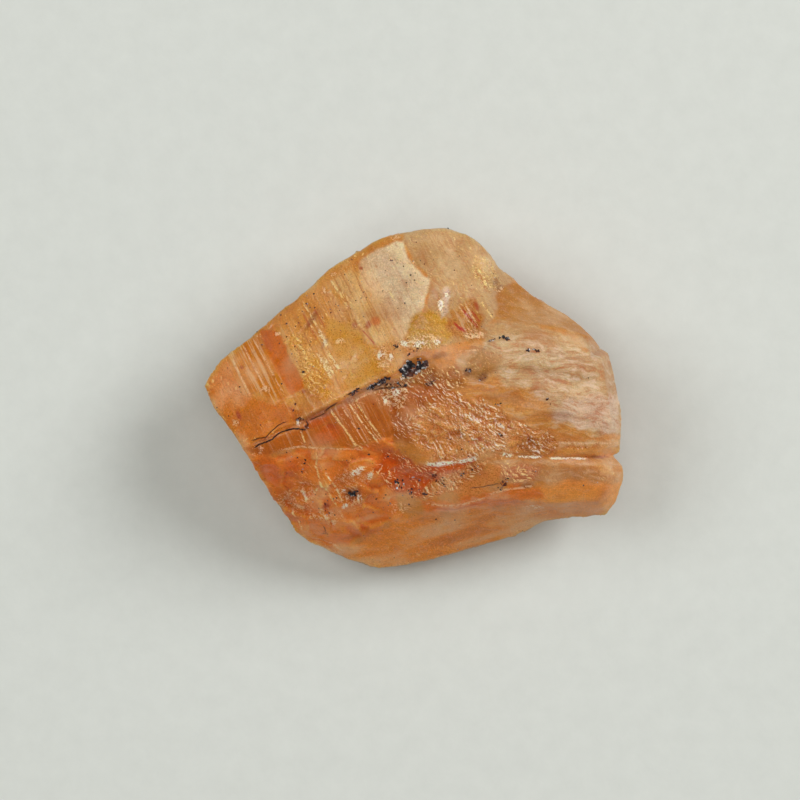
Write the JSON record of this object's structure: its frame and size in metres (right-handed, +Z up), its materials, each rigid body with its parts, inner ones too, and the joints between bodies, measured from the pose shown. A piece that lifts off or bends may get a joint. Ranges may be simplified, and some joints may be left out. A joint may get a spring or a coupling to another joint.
{
  "type": "raw topaz",
  "caption": "Raw see-through orange topaz crystal with a cracked ridge, growth bands, ledges and a flat underside; a loose specimen that rests on any level surface.",
  "frame": {"origin": "middle of the stone's length and width, on the plane of the flat underside that it rests on", "axes": "+X along the stone's length towards its blunt stepped end, +Y across it towards the overhanging crest, +Z up"},
  "size_m": [0.021, 0.0172, 0.0101],
  "materials": {
    "orange_topaz": "natural broken crystal, satin to wet gloss, cloudy golden orange with clear bands and dark mineral specks"
  },
  "bodies": {
    "root": {"topaz_crystal": "orange_topaz"}
  },
  "joints": []
}
